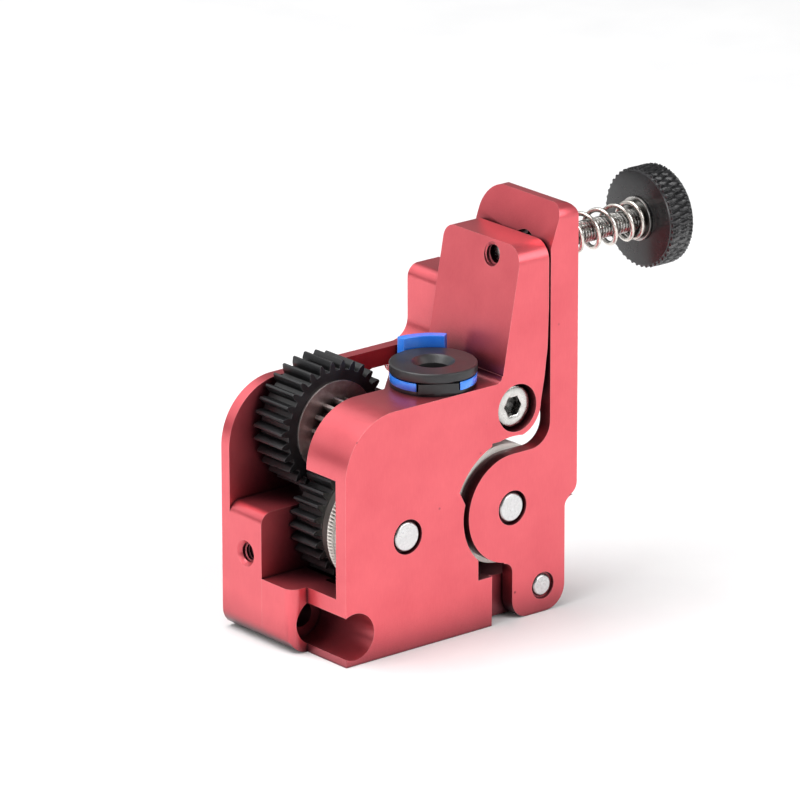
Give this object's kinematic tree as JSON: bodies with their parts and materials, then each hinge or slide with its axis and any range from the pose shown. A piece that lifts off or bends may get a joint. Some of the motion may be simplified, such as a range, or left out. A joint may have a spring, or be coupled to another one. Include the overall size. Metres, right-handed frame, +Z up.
{
  "type": "extruder gear assembly",
  "caption": "Geared filament extruder with hobbed drive and idler gears, reduction gears, sprung tension arm with thumb screw, push-in collet, red aluminium housing.",
  "frame": {"origin": "centre of the motor pilot bore on the mounting face", "axes": "+Y out of the mounting face towards the motor, +Z up along the filament line towards the collet, +X towards the thumb screw"},
  "size_m": [0.0604, 0.027, 0.0549],
  "materials": {
    "red_anodised": "satin red anodised, bead blasted",
    "ground_steel": "ground",
    "stainless": "bright stainless",
    "hob_steel": "hardened, machined",
    "pinion_steel": "brown oxide",
    "black_polymer": "moulded acetal, semi-matte",
    "bronze": "sintered bronze",
    "washer_steel": "plain",
    "collet_black": "moulded, semi-matte",
    "blue_clip": "moulded, glossy",
    "knob_black": "satin, knurled rim",
    "spring_steel": "bright wire"
  },
  "bodies": {
    "housing": {"front_housing": "red_anodised", "back_housing": "red_anodised", "housing_dowels": "ground_steel", "motor_screw": "stainless", "drive_pin": "ground_steel", "compound_pin": "ground_steel", "drive_washers": "washer_steel", "hub_washers": "washer_steel", "pivot_pin": "ground_steel", "collet_holder": "collet_black", "collet": "collet_black", "collet_claws": "washer_steel", "collet_clip": "blue_clip"},
    "drive": {"drive_hob_gear": "hob_steel", "drive_spur_gear": "black_polymer", "drive_bushes": "bronze"},
    "compound": {"hub_pinion": "pinion_steel", "big_gear": "black_polymer", "hub_bushes": "bronze"},
    "arm": {"tension_arm": "red_anodised", "idler_pin": "ground_steel", "idler_washers": "washer_steel"},
    "idler": {"idler_hob_gear": "hob_steel", "idler_bush": "bronze"},
    "spring_seat": {"spring_washer": "washer_steel", "tension_spring": "spring_steel"},
    "thumb": {"thumb_screw": "stainless", "thumb_knob": "knob_black"}
  },
  "joints": [
    {"name": "drive_spin", "type": "hinge", "parent": "housing", "child": "drive", "pos_m": [-0.00475, -0.01415, -0.00095], "axis": [0, 1, 0], "continuous": true},
    {"name": "compound_spin", "type": "hinge", "parent": "housing", "child": "compound", "pos_m": [-0.00515, -0.00715, 0.01032], "axis": [0, 1, 0], "continuous": true},
    {"name": "arm_pivot", "type": "hinge", "parent": "housing", "child": "arm", "pos_m": [0.01795, -0.01665, -0.0128], "axis": [0, 1, 0], "range_deg": [0, 5], "stiffness_Nm_per_rad": 6.8, "springref_deg": -7.45, "deforming": ["tension_spring"]},
    {"name": "idler_spin", "type": "hinge", "parent": "arm", "child": "idler", "pos_m": [0.01275, -0.01715, -0.00095], "axis": [0, 1, 0], "continuous": true},
    {"name": "thumb_travel", "type": "slide", "parent": "housing", "child": "spring_seat", "axis": [1, 0, 0], "range_m": [-0.0015, 0.0015], "deforming": ["tension_spring"]},
    {"name": "thumb_turn", "type": "hinge", "parent": "spring_seat", "child": "thumb", "pos_m": [0.03505, -0.01665, 0.0318], "axis": [1, 0, 0], "range_deg": [-1080, 1080]}
  ],
  "couplings": [
    {"joint": "compound_spin", "follows": "drive_spin", "ratio": -2.1538},
    {"joint": "idler_spin", "follows": "drive_spin", "ratio": -1},
    {"joint": "thumb_travel", "follows": "thumb_turn", "m_per_rad": 0.00007957}
  ]
}
